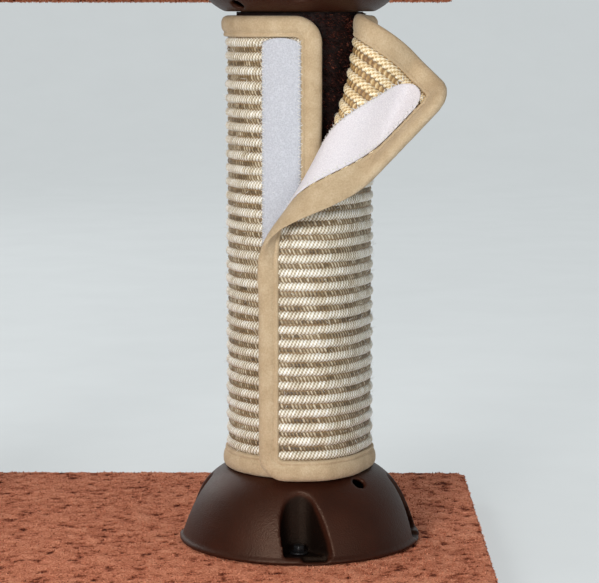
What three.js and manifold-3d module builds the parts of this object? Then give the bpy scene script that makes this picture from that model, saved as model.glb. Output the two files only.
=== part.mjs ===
// A two-post cat tree: a carpeted base and platform on two plush-covered posts. Each post stands between
// two moulded flanges and wears a removable sisal wrap, which closes with a hook-and-loop strip.
// The flap of the right wrap is peeled open at its top corner, and the flap of the left wrap is closed.
// Millimetres, +Z up. The origin is on the floor under the middle of the base, and -Y is the front.
import * as THREE from "three";
import { mergeVertices } from "three/addons/utils/BufferGeometryUtils.js";
import Module from "manifold-3d";

const wasm = await Module();
wasm.setup();

// Driving dimensions.
const BASE = { width: 600, depth: 420, corner: 12 };
const BOARD = 18; // thickness of both wooden boards
const CARPET = 4; // thickness of the carpet
const POST_X = 170; // from the middle to each post's axis
const POST_GAP = 417; // from the base's carpet to the underside of the platform
const GAP = 0.3; // between pieces that touch

// Stiffening rail under the platform's rear edge. back is where its rear face lies.
const APRON = { width: 582, drop: 45, depth: 23, back: 208, corner: 10 };
const APRON_SCREW = { fromMiddle: 200, head: 4, shank: 1.9, length: 42, tall: 3, pilot: 28 };

const TUBE = { outer: 40, inner: 36 }; // cardboard tube
const PLUSH = { outer: 43.9, inner: 40.3 }; // plush sleeve on the tube

// Flange: its profile in radius and height, and its four screw pockets.
const FLANGE = { rim: 84, lip: 3.5, neck: 51, height: 51.5, bore: 40.6, sleeve: 43.6, wall: 3 };
const POCKET = { radius: 12.5, centre: 72.5, wall: 2.4, floor: 4.5, notch: 18, sill: 1.8 };
const SCREW = { place: 67, shank: 2.2, length: 22, washer: 6.2, head: 4.1, tall: 4.6 };
// A lock screw slopes down from the dome, where its line meets it at this place and height. sunk is how far
// down that line its head lies.
const LOCK_LINE = { place: 59, height: 48.5, slope: 45 };
const LOCK = { access: 4.6, sunk: 15.5, head: 3.6, shank: 1.6, length: 15 };
const LOCK_AZIMUTHS = [45, 225];

// Sisal wrap: a flat mat with a fleece binding along its whole edge, rolled round the post.
const WRAP = { width: 350, height: 311, bottom: 51.8, corner: 18, binding: 14 };
const WRAP_START = 18; // azimuth of its inner free edge in degrees, from the front towards the right
const MAT_HALF = 2.6; // half of the mat's thickness
const CUT = 5; // off the mat's corners inside the binding
const EDGE_GAP = 2.3; // between the mat and its binding
const BINDING_HALF = 3.3;
const INNER_LAYER = 48; // radius of the mat's middle next to the post
const OUTER_LAYER = 57; // and where its outer end lies over its inner end
const RISE_FROM = 266.4; // along the mat, where it starts to rise over its inner end
const RISE_TO = 304.6;
const STRIP = { width: 25, thick: 1.1, lift: 3.65 }; // hook-and-loop tape; lift is from the mat's middle

// The flap turns about a straight line, given by two places on it.
const HINGE_LOW = { azimuth: -15.3, radius: 57.6, height: 200 };
const HINGE_HIGH = { azimuth: 31.4, radius: 48.2, height: 300 };
const PEEL = 140; // degrees that the right flap is turned open
// A band of the mat bends between the wrap and the flap. It lies between two slanting lines, which cross
// the top edge this far from the corner, and the free edge this many times as far down.
const BAND = { outer: 98, inner: 40, slope: 2 };

const BASE_TOP = BOARD + CARPET;
const PLATFORM_BOTTOM = BASE_TOP + POST_GAP;
const PLATFORM_TOP = PLATFORM_BOTTOM + BOARD; // of the board, without its carpet
const QUARTERS = [0, 90, 180, 270];

const paint = (color, roughness, metalness = 0) =>
  new THREE.MeshStandardMaterial({ color, roughness, metalness });
const CARPET_PAINT = 0xa0614a;
const BOARD_PAINT = 0xb9935f;
const PLASTIC_PAINT = 0x38211a;
const PLUSH_PAINT = 0x2c130e;
const TUBE_PAINT = 0x9a7b57;
const SISAL_PAINT = 0xcfc09b;
const FLEECE_PAINT = 0xc6b48c;
const TAPE_PAINT = 0xdcdfe6;
const ZINC_PAINT = 0x9da0a3;
const BLACK_PAINT = 0x1a1a1c;

// Geometry to a solid, for cutting and joining.
function solidOf(geometry) {
  const bare = geometry.index ? geometry.toNonIndexed() : geometry.clone();
  bare.deleteAttribute("normal");
  bare.deleteAttribute("uv");
  const merged = mergeVertices(bare, 1e-3);
  const found = new wasm.Mesh({
    numProp: 3,
    vertProperties: merged.attributes.position.array,
    triVerts: new Uint32Array(merged.index.array),
  });
  return new wasm.Manifold(found);
}

// A solid back to geometry.
function geometryOf(solid) {
  const found = solid.getMesh();
  const geometry = new THREE.BufferGeometry();
  geometry.setAttribute("position", new THREE.BufferAttribute(found.vertProperties, 3));
  geometry.setIndex(new THREE.BufferAttribute(found.triVerts, 1));
  const faceted = geometry.toNonIndexed();
  faceted.computeVertexNormals();
  return faceted;
}

function addMesh(group, name, geometry, color, roughness = 0.8, metalness = 0) {
  const mesh = new THREE.Mesh(geometry, paint(color, roughness, metalness));
  mesh.name = name;
  group.add(mesh);
  return mesh;
}

// Turns a closed profile of [radius, height] points about Z.
function revolve(profile, segments = 24) {
  const points = profile.map(([r, z]) => new THREE.Vector2(r, z));
  points.push(points[0].clone());
  return new THREE.LatheGeometry(points, segments).rotateX(Math.PI / 2);
}

function ring(inner, outer, low, high, segments = 24) {
  return revolve([[outer, low], [outer, high], [inner, high], [inner, low]], segments);
}

function roundedRectangle(width, depth, corner) {
  const x = width / 2 - corner;
  const y = depth / 2 - corner;
  const shape = new THREE.Shape();
  shape.absarc(x, y, corner, 0, Math.PI / 2);
  shape.absarc(-x, y, corner, Math.PI / 2, Math.PI);
  shape.absarc(-x, -y, corner, Math.PI, 1.5 * Math.PI);
  shape.absarc(x, -y, corner, 1.5 * Math.PI, 2 * Math.PI);
  return shape;
}

// A straight prism over a shape, from one height to another.
function prism(shape, low, high, curveSegments = 4) {
  const made = new THREE.ExtrudeGeometry(shape, { depth: high - low, bevelEnabled: false, curveSegments });
  return made.translate(0, 0, low);
}

// A prism whose top and bottom edges are rounded.
function softSlab(width, depth, corner, low, high, round) {
  const outline = roundedRectangle(width - 2 * round, depth - 2 * round, corner - round);
  const made = new THREE.ExtrudeGeometry(outline, {
    depth: high - low - 2 * round,
    bevelEnabled: true,
    bevelSize: round,
    bevelThickness: round,
    bevelSegments: 2,
    curveSegments: 4,
  });
  return made.translate(0, 0, low + round);
}

// An upright round rod centred on (x, y).
function rod(radius, low, high, x = 0, y = 0, segments = 8) {
  const made = new THREE.CylinderGeometry(radius, radius, high - low, segments).rotateX(Math.PI / 2);
  return made.translate(x, y, (low + high) / 2);
}

// A point on the floor plan: azimuth in degrees from the front, positive towards the right.
function plan(azimuth, radius) {
  const a = THREE.MathUtils.degToRad(azimuth);
  return [radius * Math.sin(a), -radius * Math.cos(a)];
}

function cutRods(solid, places, radius, low, high) {
  return places.reduce((left, [x, y]) => left.subtract(solidOf(rod(radius, low, high, x, y))), solid);
}

// Where the flange screws go into a board, and where the rail's screws go through the platform.
const screwPlaces = [-POST_X, POST_X].flatMap((postX) =>
  QUARTERS.map((azimuth) => {
    const [x, y] = plan(azimuth, SCREW.place);
    return [postX + x, y];
  }),
);
const apronScrewPlaces = [-1, 1].map((side) => [side * APRON_SCREW.fromMiddle, APRON.back - APRON.depth / 2]);

// A board as large as its carpet leaves it, with pilot holes from one height to another.
function drilledBoard(low, holesFrom, holesTo) {
  const outline = roundedRectangle(BASE.width - 2 * CARPET, BASE.depth - 2 * CARPET, BASE.corner - CARPET);
  const board = solidOf(prism(outline, low, low + BOARD));
  return cutRods(board, screwPlaces, SCREW.shank + GAP, holesFrom, holesTo);
}

function buildBoards(group) {
  const base = drilledBoard(0, BOARD - 14, BOARD + 1);
  addMesh(group, "base_board", geometryOf(base), BOARD_PAINT);
  const drilled = drilledBoard(PLATFORM_BOTTOM, PLATFORM_BOTTOM - 1, PLATFORM_TOP - 1);
  const wide = APRON_SCREW.head + GAP;
  const platform = cutRods(drilled, apronScrewPlaces, wide, PLATFORM_BOTTOM - 1, PLATFORM_TOP + 1);
  addMesh(group, "platform_board", geometryOf(platform), BOARD_PAINT);
}

// A carpet that covers the top and the edges of a board.
function boardCarpet(low, holes) {
  const over = solidOf(softSlab(BASE.width, BASE.depth, BASE.corner, low, low + BOARD + CARPET, 3));
  const inside = roundedRectangle(
    BASE.width - 2 * CARPET + 2 * GAP,
    BASE.depth - 2 * CARPET + 2 * GAP,
    BASE.corner - CARPET + GAP,
  );
  const hollow = over.subtract(solidOf(prism(inside, low - 1, low + BOARD + GAP)));
  return cutRods(hollow, holes, SCREW.shank + GAP, low, low + BOARD + CARPET + 1);
}

function buildCarpets(group) {
  addMesh(group, "base_carpet", geometryOf(boardCarpet(0, screwPlaces)), CARPET_PAINT, 1);
  addMesh(group, "platform_carpet", geometryOf(boardCarpet(PLATFORM_BOTTOM, [])), CARPET_PAINT, 1);
}

// The stiffening rail under the platform's rear edge: a board with carpet round it, and its two screws.
function buildApron(group) {
  const top = PLATFORM_BOTTOM - GAP;
  const low = PLATFORM_BOTTOM - APRON.drop;
  const face = (margin, roof) => {
    const half = APRON.width / 2 - margin;
    const floor = low + margin;
    const corner = APRON.corner - margin;
    const shape = new THREE.Shape();
    shape.moveTo(half, roof);
    shape.lineTo(-half, roof);
    shape.absarc(-half + corner, floor + corner, corner, Math.PI, 1.5 * Math.PI);
    shape.absarc(half - corner, floor + corner, corner, 1.5 * Math.PI, 2 * Math.PI);
    return shape;
  };
  // The face is drawn in X and Z, and is pushed back along +Y.
  const slab = (margin, roof) => {
    const made = prism(face(margin, roof), 0, APRON.depth - 2 * margin);
    return solidOf(made.rotateX(Math.PI / 2).translate(0, APRON.back - margin, 0));
  };
  const wood = slab(CARPET + GAP, top);
  const board = cutRods(wood, apronScrewPlaces, APRON_SCREW.shank + GAP, top - APRON_SCREW.pilot, top + 1);
  addMesh(group, "apron_board", geometryOf(board), BOARD_PAINT);
  const cover = slab(0, top).subtract(slab(CARPET, top + 5));
  addMesh(group, "apron_carpet", geometryOf(cover), CARPET_PAINT, 1);
  apronScrewPlaces.forEach(([x, y], i) => {
    const head = rod(APRON_SCREW.head, PLATFORM_TOP - APRON_SCREW.tall, PLATFORM_TOP, x, y);
    const shank = rod(APRON_SCREW.shank, PLATFORM_TOP - APRON_SCREW.length, PLATFORM_TOP - 1, x, y, 8);
    const name = ["apron_screw_left", "apron_screw_right"][i];
    addMesh(group, name, geometryOf(solidOf(head).add(solidOf(shank))), ZINC_PAINT, 0.4, 0.9);
  });
}

// The dome's surface from its lip up to its neck, drawn inwards by a wall's thickness.
function domeCurve(wall, steps) {
  const curve = new THREE.CubicBezierCurve(
    new THREE.Vector2(FLANGE.rim - 1.6 - wall, FLANGE.lip + 0.5),
    new THREE.Vector2(77.5 - wall, 22 - wall / 3),
    new THREE.Vector2(70.5 - wall * 0.8, 42 - wall),
    new THREE.Vector2(FLANGE.neck - wall / 3, FLANGE.height - wall),
  );
  return curve.getPoints(steps).map((p) => [p.x, p.y]);
}

// A pocket's outline on the floor plan, round the screw and open outwards. side is +1 where it widens
// towards rising azimuth, and grow is the thickness of its wall.
function pocketShape(azimuth, side, grow) {
  const radius = POCKET.radius + grow;
  const outline = [];
  for (let angle = -45; angle >= -235; angle -= 38) {
    const a = THREE.MathUtils.degToRad(angle);
    outline.push([radius * Math.cos(a), POCKET.centre + radius * Math.sin(a)]);
  }
  const [startX, startY] = outline[0];
  const out = 96;
  outline.push([-4 - grow, out], [startX + out - startY, out]);
  const turned = outline.map(([x, y]) => {
    const [px, py] = plan(azimuth, y);
    const [sx, sy] = plan(azimuth + 90, x * side);
    return new THREE.Vector2(px + sx, py + sy);
  });
  return new THREE.Shape(THREE.ShapeUtils.area(turned) < 0 ? turned.reverse() : turned);
}

// A round bar along a lock screw's line, from a distance before the dome's surface to one past it.
function lockBar(azimuth, radius, before, past, segments = 6) {
  const bar = new THREE.CylinderGeometry(radius, radius, before + past, segments);
  bar.translate(0, (before - past) / 2, 0);
  bar.rotateX(THREE.MathUtils.degToRad(LOCK_LINE.slope));
  bar.rotateZ(THREE.MathUtils.degToRad(azimuth));
  // After the turns the bar's own +Y points outwards and up at this azimuth.
  bar.rotateZ(Math.PI);
  const [x, y] = plan(azimuth, LOCK_LINE.place);
  return bar.translate(x, y, LOCK_LINE.height);
}

// One flange, standing on z = 0 with its neck up.
function flangeSolid() {
  const low = GAP;
  const dome = [
    [FLANGE.rim, low],
    [FLANGE.rim, FLANGE.lip],
    ...domeCurve(0, 4),
    [FLANGE.bore, FLANGE.height],
    [FLANGE.bore, low],
  ];
  const hollow = [
    [FLANGE.rim - 1.6 - FLANGE.wall, -5],
    ...domeCurve(FLANGE.wall, 2),
    [FLANGE.sleeve, FLANGE.height - FLANGE.wall],
    [FLANGE.sleeve, -5],
  ];
  const full = solidOf(revolve(dome));
  let made = full.subtract(solidOf(revolve(hollow)));
  const pockets = QUARTERS.map((azimuth, i) => [azimuth, i % 2 ? -1 : 1]);
  for (const [azimuth, side] of pockets) {
    const wall = solidOf(prism(pocketShape(azimuth, side, POCKET.wall), low, FLANGE.height));
    made = made.add(wall.intersect(full));
  }
  for (const [azimuth, side] of pockets) {
    const room = solidOf(prism(pocketShape(azimuth, side, 0), POCKET.floor, FLANGE.height + 5));
    const notch = new THREE.BoxGeometry(POCKET.notch, 30, 10);
    notch.translate(side * 11, -(SCREW.place + 23), POCKET.sill + 5).rotateZ(THREE.MathUtils.degToRad(azimuth));
    const [x, y] = plan(azimuth, SCREW.place);
    const hole = solidOf(rod(SCREW.shank + GAP, -5, 20, x, y));
    made = made.subtract(room).subtract(solidOf(notch)).subtract(hole);
  }
  for (const azimuth of LOCK_AZIMUTHS) {
    made = made.subtract(solidOf(lockBar(azimuth, LOCK.access, 20, LOCK.sunk - 2)));
    made = made.subtract(solidOf(lockBar(azimuth, LOCK.shank + GAP, 0, 45)));
  }
  return made;
}

// A hex-head screw with a washer, standing in a flange at z = 0.
function flangeScrew(azimuth) {
  const [x, y] = plan(azimuth, SCREW.place);
  const seat = POCKET.floor + GAP;
  const washer = rod(SCREW.washer, seat, seat + 1.5, x, y);
  const head = rod(SCREW.head, seat + 1, seat + 1.5 + SCREW.tall, x, y, 6);
  const shank = rod(SCREW.shank, seat + 1 - SCREW.length, seat + 1, x, y, 6);
  return solidOf(washer).add(solidOf(head)).add(solidOf(shank));
}

// A lock screw, driven down through the flange's inner sleeve into the tube.
function lockScrew(azimuth) {
  const head = solidOf(lockBar(azimuth, LOCK.head, -LOCK.sunk, LOCK.sunk + 2.4));
  const shank = solidOf(lockBar(azimuth, LOCK.shank, -LOCK.sunk - 1, LOCK.sunk + LOCK.length));
  return head.add(shank);
}

// Both flanges of a post with their screws: the upper flange is the lower one turned over.
function buildFlanges(group, side) {
  const flange = geometryOf(flangeSolid());
  const ends = [
    ["lower", new THREE.Matrix4()],
    ["upper", new THREE.Matrix4().makeRotationX(Math.PI).setPosition(0, 0, POST_GAP)],
  ];
  for (const [end, place] of ends) {
    addMesh(group, `${side}_${end}_flange`, flange.clone().applyMatrix4(place), PLASTIC_PAINT, 0.45);
    const names = end === "lower" ? ["front", "right", "rear", "left"] : ["rear", "right", "front", "left"];
    QUARTERS.forEach((azimuth, i) => {
      const screw = geometryOf(flangeScrew(azimuth)).applyMatrix4(place);
      addMesh(group, `${side}_${end}_screw_${names[i]}`, screw, BLACK_PAINT, 0.4, 0.8);
    });
    LOCK_AZIMUTHS.forEach((azimuth, i) => {
      const screw = geometryOf(lockScrew(azimuth)).applyMatrix4(place);
      addMesh(group, `${side}_${end}_lock_screw_${["a", "b"][i]}`, screw, ZINC_PAINT, 0.4, 0.9);
    });
  }
}

// The cardboard tube, with a hole for each lock screw, and the plush sleeve on it.
function buildPost(group, side) {
  let tube = solidOf(ring(TUBE.inner, TUBE.outer, GAP, POST_GAP - GAP));
  const over = new THREE.Matrix4().makeRotationX(Math.PI).setPosition(0, 0, POST_GAP);
  for (const azimuth of LOCK_AZIMUTHS) {
    const hole = lockBar(azimuth, LOCK.shank + GAP, 0, 45);
    tube = tube.subtract(solidOf(hole)).subtract(solidOf(hole.clone().applyMatrix4(over)));
  }
  addMesh(group, `${side}_post_tube`, geometryOf(tube), TUBE_PAINT);
  const sleeve = ring(PLUSH.inner, PLUSH.outer, FLANGE.height + GAP, POST_GAP - FLANGE.height - GAP);
  addMesh(group, `${side}_plush_sleeve`, sleeve, PLUSH_PAINT, 1);
}

// Where the mat's middle lies when closed, at a distance along it from its inner free edge.
function rolled(along) {
  const rise = (OUTER_LAYER - INNER_LAYER) / (RISE_TO - RISE_FROM);
  const risen = THREE.MathUtils.clamp(along, RISE_FROM, RISE_TO) - RISE_FROM;
  const radius = INNER_LAYER + rise * risen;
  let turned = Math.min(along, RISE_FROM) / INNER_LAYER;
  turned += Math.log(radius / INNER_LAYER) / rise;
  turned += Math.max(along - RISE_TO, 0) / OUTER_LAYER;
  return { azimuth: WRAP_START - THREE.MathUtils.radToDeg(turned), radius };
}

function onPost({ azimuth, radius, height }) {
  const [x, y] = plan(azimuth, radius);
  return new THREE.Vector3(x, y, height);
}

const hingeAt = onPost(HINGE_LOW);
const hingeAxis = onPost(HINGE_HIGH).sub(hingeAt).normalize();

// How far a slanting line through a place on the mat crosses the top edge from the corner.
function reach(along, up) {
  return WRAP.width - along + (WRAP.height - up) / BAND.slope;
}

// How high on the mat, at a distance along it, such a line runs.
function lineHeight(along, distance) {
  return WRAP.height - BAND.slope * (distance - WRAP.width + along);
}

// A place on the mat, out from its middle by lift, with the flap turned open by peel degrees.
function onWrap(along, up, lift, peel) {
  const { azimuth, radius } = rolled(along);
  const point = onPost({ azimuth, radius: radius + lift, height: WRAP.bottom + up });
  const share = 1 - THREE.MathUtils.smoothstep(reach(along, up), BAND.inner, BAND.outer);
  const turn = THREE.MathUtils.degToRad(peel * share);
  return point.sub(hingeAt).applyAxisAngle(hingeAxis, turn).add(hingeAt);
}

// A sheet made from a box: place gives the point for its length, width and thickness, each from 0 to 1.
// Length runs towards falling azimuth and width runs up, so the box's own Z is turned round to face out.
function sheet(lengthSteps, widthSteps, place) {
  const box = new THREE.BoxGeometry(1, 1, 1, lengthSteps, widthSteps, 1);
  const position = box.attributes.position;
  for (let i = 0; i < position.count; i++) {
    const point = place(position.getX(i) + 0.5, position.getY(i) + 0.5, 0.5 - position.getZ(i));
    position.setXYZ(i, point.x, point.y, point.z);
  }
  return box;
}

const between = THREE.MathUtils.lerp;

// Part of the mat between two distances along it, and between two heights that depend on the distance.
function matPiece(from, to, lower, upper, steps, rows, half, lift, peel) {
  return sheet(steps, rows, (a, b, c) => {
    const along = between(from, to, a);
    const up = between(lower(along), upper(along), b);
    return onWrap(along, up, lift + between(-half, half, c), peel);
  });
}

// The mat's edge as a closed path from the middle of its top edge, with round corners. It runs to the outer
// free edge, down it, back along the bottom, and up the inner free edge.
function edgePath() {
  const { width, height, corner } = WRAP;
  const path = new THREE.Path();
  path.moveTo(width / 2, height);
  path.lineTo(width - corner, height);
  path.absarc(width - corner, height - corner, corner, Math.PI / 2, 0, true);
  path.lineTo(width, corner);
  path.absarc(width - corner, corner, corner, 0, -Math.PI / 2, true);
  path.lineTo(corner, 0);
  path.absarc(corner, corner, corner, -Math.PI / 2, -Math.PI, true);
  path.lineTo(0, height - corner);
  path.absarc(corner, height - corner, corner, Math.PI, Math.PI / 2, true);
  path.lineTo(width / 2, height);
  return path;
}

// The binding along the mat's edge, between two distances round it.
function bindingPiece(from, to, peel, step) {
  const path = edgePath();
  const total = path.getLength();
  const steps = Math.round((to - from) / step);
  return sheet(steps, 1, (a, b, c) => {
    const share = ((between(from, to, a) / total) % 1 + 1) % 1;
    const edge = path.getPointAt(share);
    const ahead = path.getTangentAt(share);
    const inset = between(WRAP.binding, 0, b);
    const along = edge.x + ahead.y * inset;
    const up = edge.y - ahead.x * inset;
    return onWrap(along, up, between(-BINDING_HALF, BINDING_HALF, c), peel);
  });
}

// The wrap and its flap. The flap's pieces go to the same group, and turn about the hinge line.
function buildWrap(group, side, peel) {
  const { width, height, binding } = WRAP;
  const inner = binding + EDGE_GAP;
  const left = inner;
  const right = width - inner;
  const roof = height - inner;
  // The mat's own corners are cut off where the binding's inner edge turns.
  const nick = (along) => Math.max(0, left + CUT - along, along - right + CUT);
  const bottom = (along) => inner + nick(along);
  const top = (along) => roof - nick(along);
  const line = (distance) => (along) =>
    THREE.MathUtils.clamp(lineHeight(along, distance), bottom(along), top(along));
  const meetsRoof = (distance) => width - distance + inner / BAND.slope + 1;

  const sisal = (name, from, lower, upper, steps, rows) => {
    const piece = matPiece(from, right, lower, upper, steps, rows, MAT_HALF, 0, peel);
    addMesh(group, `${side}_${name}`, piece, SISAL_PAINT, 1);
  };
  const foldRows = peel ? 18 : 1;
  const { outer, inner: near } = BAND;
  sisal("mat", left, bottom, line(outer + GAP), 46, 1);
  sisal("mat_fold", meetsRoof(outer - GAP), line(outer - GAP), line(near + GAP), 18, foldRows);
  sisal("flap_mat", meetsRoof(near - GAP), line(near - GAP), top, 12, 1);

  // Distances round the edge, from the middle of the top, at which the bending band meets it.
  const path = edgePath().getLength();
  const topMeets = width / 2 - BAND.outer;
  const cornerSaves = WRAP.corner * (2 - Math.PI / 2);
  const edgeMeets = width / 2 + BAND.slope * BAND.outer - cornerSaves;
  const fleece = (name, from, to, step) =>
    addMesh(group, `${side}_${name}`, bindingPiece(from + 1, to - 1, peel, step), FLEECE_PAINT, 1);
  fleece("flap_binding", topMeets, edgeMeets, 6);
  fleece("binding", edgeMeets, path + topMeets, 10);

  // The loop strip is on the outer face of the inner end, and the hook strip on the flap's inner face.
  const tape = STRIP.thick / 2;
  const loop = matPiece(left + 1, left + 1 + STRIP.width, bottom, top, 6, 1, tape, STRIP.lift, 0);
  addMesh(group, `${side}_loop_strip`, loop, TAPE_PAINT, 0.9);
  const hook = (name, lower, upper, rows) => {
    const to = right - 1;
    const strip = matPiece(to - STRIP.width, to, lower, upper, 6, rows, tape, -STRIP.lift - GAP, peel);
    addMesh(group, `${side}_${name}`, strip, TAPE_PAINT, 0.9);
  };
  hook("hook_strip", bottom, line(BAND.outer + GAP), 1);
  hook("flap_hook_strip", line(BAND.outer - GAP), top, peel ? 22 : 1);
}

const tree = new THREE.Group();
buildBoards(tree);
buildCarpets(tree);
buildApron(tree);
for (const [side, x, peel] of [["left", -POST_X, 0], ["right", POST_X, PEEL]]) {
  const post = new THREE.Group();
  post.position.set(x, 0, BASE_TOP);
  buildFlanges(post, side);
  buildPost(post, side);
  buildWrap(post, side, peel);
  tree.add(post);
}

export default tree;
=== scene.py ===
"""Looks of the two-post cat tree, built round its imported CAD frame.

Lengths are in millimetres up to the point where a mesh is made, and in metres from there on.
Each post has its own frame: its origin is on the base's carpet at the foot of the post's axis.
"""

import math

import bpy
import numpy as np
from mathutils import Matrix, Vector


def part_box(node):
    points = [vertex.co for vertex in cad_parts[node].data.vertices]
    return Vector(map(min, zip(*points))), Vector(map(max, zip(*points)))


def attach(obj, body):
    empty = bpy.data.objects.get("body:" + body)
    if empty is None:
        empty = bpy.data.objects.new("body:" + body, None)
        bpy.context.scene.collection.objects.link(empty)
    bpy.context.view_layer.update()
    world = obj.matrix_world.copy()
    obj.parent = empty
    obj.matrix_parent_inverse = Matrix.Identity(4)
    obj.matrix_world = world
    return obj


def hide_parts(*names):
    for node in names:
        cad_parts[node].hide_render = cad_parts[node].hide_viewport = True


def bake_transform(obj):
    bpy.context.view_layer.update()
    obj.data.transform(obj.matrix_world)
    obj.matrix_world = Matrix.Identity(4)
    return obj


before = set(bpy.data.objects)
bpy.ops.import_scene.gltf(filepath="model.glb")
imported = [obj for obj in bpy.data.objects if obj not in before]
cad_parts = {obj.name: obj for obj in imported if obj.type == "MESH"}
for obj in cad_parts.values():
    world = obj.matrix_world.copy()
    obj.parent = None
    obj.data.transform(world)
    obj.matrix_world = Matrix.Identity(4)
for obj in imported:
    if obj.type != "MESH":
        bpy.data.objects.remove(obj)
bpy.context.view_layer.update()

# Sizes of the CAD model, in millimetres.
BASE = {"width": 600.0, "depth": 420.0, "corner": 12.0}
BOARD = 18.0
CARPET = 4.0
BASE_TOP = BOARD + CARPET
POST_GAP = 417.0
PLATFORM_BOTTOM = BASE_TOP + POST_GAP
POST_X = {"left": -170.0, "right": 170.0}
PEEL = {"left": 0.0, "right": 140.0}  # degrees that each flap is open at rest

FLANGE = {"rim": 84.0, "lip": 3.5, "neck": 51.0, "height": 51.5, "bore": 40.6, "sleeve": 43.6, "wall": 3.0}
POCKET = {"radius": 12.5, "centre": 72.5, "wall": 2.4, "floor": 4.5, "reach": 96.0}
NOTCH = {"width": 18.0, "aside": 11.0, "from": 75.0, "to": 105.0, "sill": 1.8, "tall": 10.0}
SCREW = {"place": 67.0, "hole": 2.5}
LOCK = {"place": 59.0, "height": 48.5, "slope": 45.0, "access": 4.6, "sunk": 15.5}
PLUSH = {"radius": 43.1, "foot": 42.8, "gap": 0.3}  # the sleeve's surface, its pile's feet, the gap to a flange

WRAP = {"width": 350.0, "height": 311.0, "bottom": 51.8, "corner": 18.0, "binding": 14.0}
WRAP_START = 18.0  # azimuth of the inner free edge, in degrees from the front towards the right
INNER_LAYER, OUTER_LAYER = 48.0, 57.0  # radius of the mat's middle in its two layers
RISE_FROM, RISE_TO = 266.4, 304.6  # along the mat, where it climbs from one layer to the other
STRIP = {"width": 25.0, "thick": 1.1, "lift": 3.65}
LOOP_FROM = WRAP["binding"]  # along the mat, where each tape starts
HOOK_FROM = WRAP["width"] - WRAP["binding"] - STRIP["width"]
HINGE_LOW = (-15.3, 57.6, 200.0)  # azimuth, radius and height of two places on the flap's hinge line
HINGE_HIGH = (31.4, 48.2, 300.0)
BAND = {"outer": 98.0, "inner": 40.0, "slope": 2.0}  # the part of the mat that bends

ROW_PITCH = 9.5  # of the sisal rows
ROW_END, ROW_EDGE = 11.0, 12.0  # from the mat's sides to the rows' ends, and from its top to the first row
# Yarns: radius, how far a ply stands out, ply spacing along the row, plies, height over depth, brightness. The
# filler's low brightness is painted shade in the recess between rows.
YARN = {"radius": 2.2, "ply": 0.8, "twist": 2.4, "plies": 3, "wide": 1.08, "shade": 1.0}
FILLER = {"radius": 1.05, "ply": 0.45, "twist": 2.4, "plies": -2, "wide": 1.6, "shade": 0.42}

# Carpets: spacing of the surface's points, rounding of the board's edge, tufts on a board and on the rail.
PLUSH_STEP, PLUSH_ROUND, BOARD_TUFTS, RAIL_TUFTS = 2.1, 3.0, 42000, 14000
TUFT = {"length": 1.7, "width": 0.75, "lean": 0.6, "spread": 0.12}

# Screw profiles, as (radius, height). The hex head's radii are shares of the distance to a flat.
WASHER = [(2.4, 0.2), (2.6, 0), (5.9, 0), (6.2, 0.25), (6.2, 1.1), (5.9, 1.35), (2.6, 1.45), (2.4, 1.3)]
HEX_FLAT = 3.55
HEX_HEAD = [
    (0.05, 1.4), (0.98, 1.4), (1.0, 1.6), (1.0, 5.2), (0.94, 5.75), (0.8, 5.95), (0.45, 5.9), (0.3, 5.6),
    (0.02, 5.5),
]
PAN_HEAD = [
    (0.05, 0), (0.5, -0.02), (0.9, -0.05), (1.3, -0.1), (1.7, -0.18), (2.1, -0.28), (2.6, -0.45), (3.1, -0.75),
    (3.45, -1.15), (3.6, -1.7), (3.6, -2.4), (1.5, -2.4),
]

CAMERA = {"place": (0.181, -1.475, 0.392), "down": 7.6, "left": 0.43, "lens": 129.2, "sensor": 36.0}

random = np.random.default_rng(11)
lattice = np.random.default_rng(5).uniform(-1, 1, (64, 64, 64))


def noise(points, size):
    """Smooth noise from -1 to 1 at each point, with features about size across."""
    scaled = np.asarray(points, float) / size
    cell = np.floor(scaled).astype(int)
    part = scaled - cell
    part = part * part * (3 - 2 * part)
    total = 0.0
    for corner in range(8):
        offset = np.array([corner & 1, corner >> 1 & 1, corner >> 2])
        weight = np.prod(np.where(offset, part, 1 - part), -1)
        x, y, z = np.moveaxis((cell + offset) % 64, -1, 0)
        total = total + weight * lattice[x, y, z]
    return total


# ==== Materials


def srgb(red, green, blue):
    """A linear colour from 0-255 screen values."""
    shares = [value / 255 for value in (red, green, blue)]
    linear = [s / 12.92 if s <= 0.04045 else ((s + 0.055) / 1.055) ** 2.4 for s in shares]
    return (*linear, 1.0)


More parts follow.
